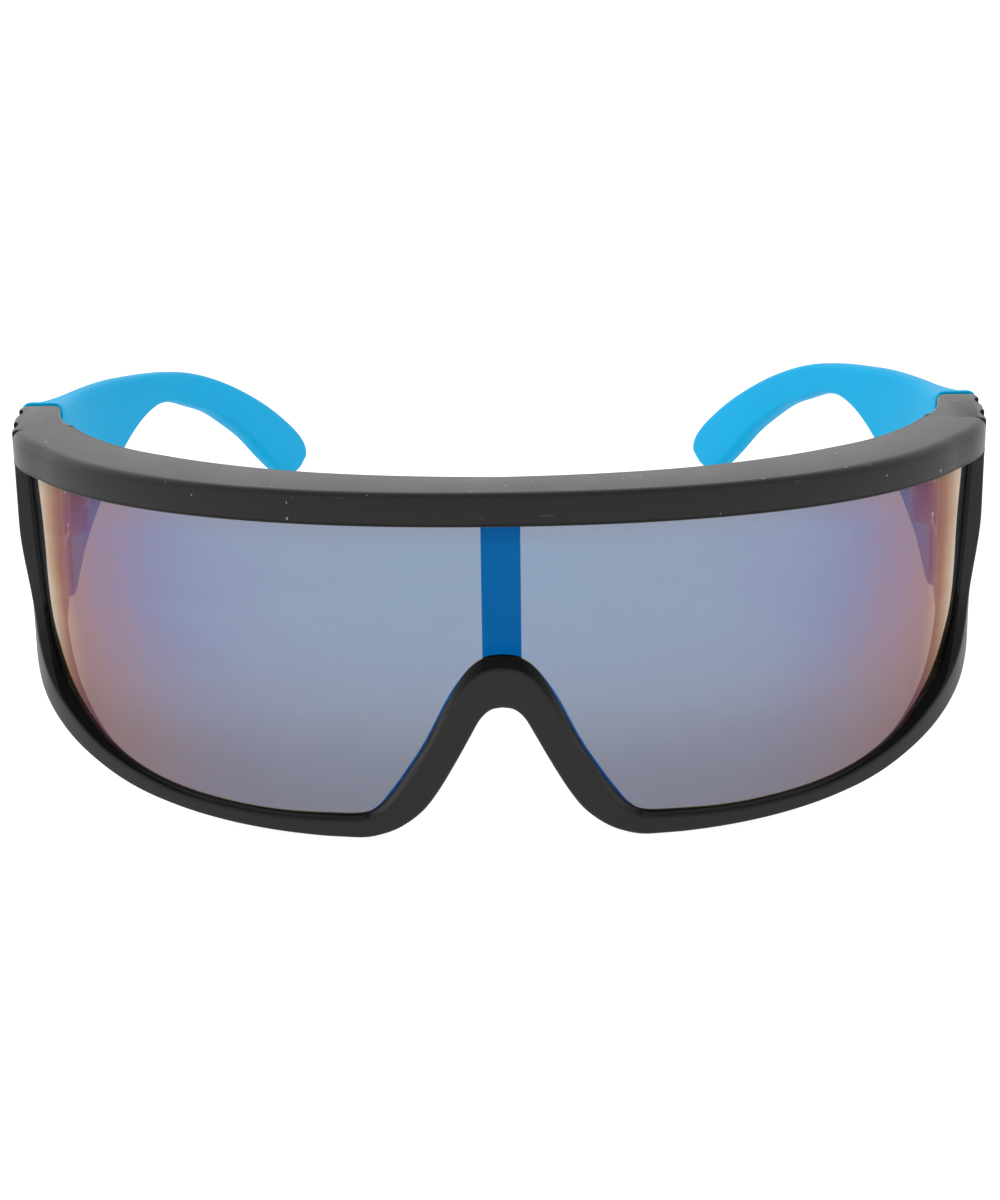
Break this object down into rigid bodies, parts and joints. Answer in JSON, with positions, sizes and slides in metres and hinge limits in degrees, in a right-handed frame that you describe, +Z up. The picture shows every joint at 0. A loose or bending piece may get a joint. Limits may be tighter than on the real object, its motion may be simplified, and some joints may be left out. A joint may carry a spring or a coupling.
{
  "type": "wraparound sunglasses",
  "caption": "Wraparound sport sunglasses: a curved mirrored shield lens in a black frame under a matte brow bar, with tall folding blue temples.",
  "frame": {"origin": "middle of the footprint, on the surface that the sunglasses stand on with their temples open", "axes": "+X to the wearer's left, +Y from the lens back to the temple tips, +Z up"},
  "size_m": [0.1542, 0.1837, 0.0573],
  "materials": {
    "brow_grey": "fine matte moulding",
    "frame_black": "satin",
    "strut_black": "satin",
    "lens_mirror": "blue mirror coat on a smoke tint",
    "temple_blue": "satin",
    "hinge_steel": "satin",
    "screw_steel": "polished"
  },
  "bodies": {
    "front": {"brow_bar": "brow_grey", "front_frame": "frame_black", "shield_lens": "lens_mirror", "centre_strut": "strut_black", "strut_screw": "screw_steel", "brow_screw_right": "screw_steel", "hinge_frame_leaf_right": "hinge_steel", "hinge_screw_right": "screw_steel", "frame_leaf_screw_upper_right": "screw_steel", "frame_leaf_screw_lower_right": "screw_steel", "brow_screw_left": "screw_steel", "hinge_frame_leaf_left": "hinge_steel", "hinge_screw_left": "screw_steel", "frame_leaf_screw_upper_left": "screw_steel", "frame_leaf_screw_lower_left": "screw_steel"},
    "right_arm": {"temple_right": "temple_blue", "hinge_temple_leaf_right": "hinge_steel", "temple_leaf_screw_upper_right": "screw_steel", "temple_leaf_screw_lower_right": "screw_steel"},
    "left_arm": {"temple_left": "temple_blue", "hinge_temple_leaf_left": "hinge_steel", "temple_leaf_screw_upper_left": "screw_steel", "temple_leaf_screw_lower_left": "screw_steel"}
  },
  "joints": [
    {"name": "right_fold", "type": "hinge", "parent": "front", "child": "right_arm", "pos_m": [0.0686, -0.04615, 0.0415], "axis": [0, 0, 1], "range_deg": [0, 87]},
    {"name": "left_fold", "type": "hinge", "parent": "front", "child": "left_arm", "pos_m": [-0.0686, -0.04615, 0.0415], "axis": [0, 0, -1], "range_deg": [0, 77]}
  ]
}
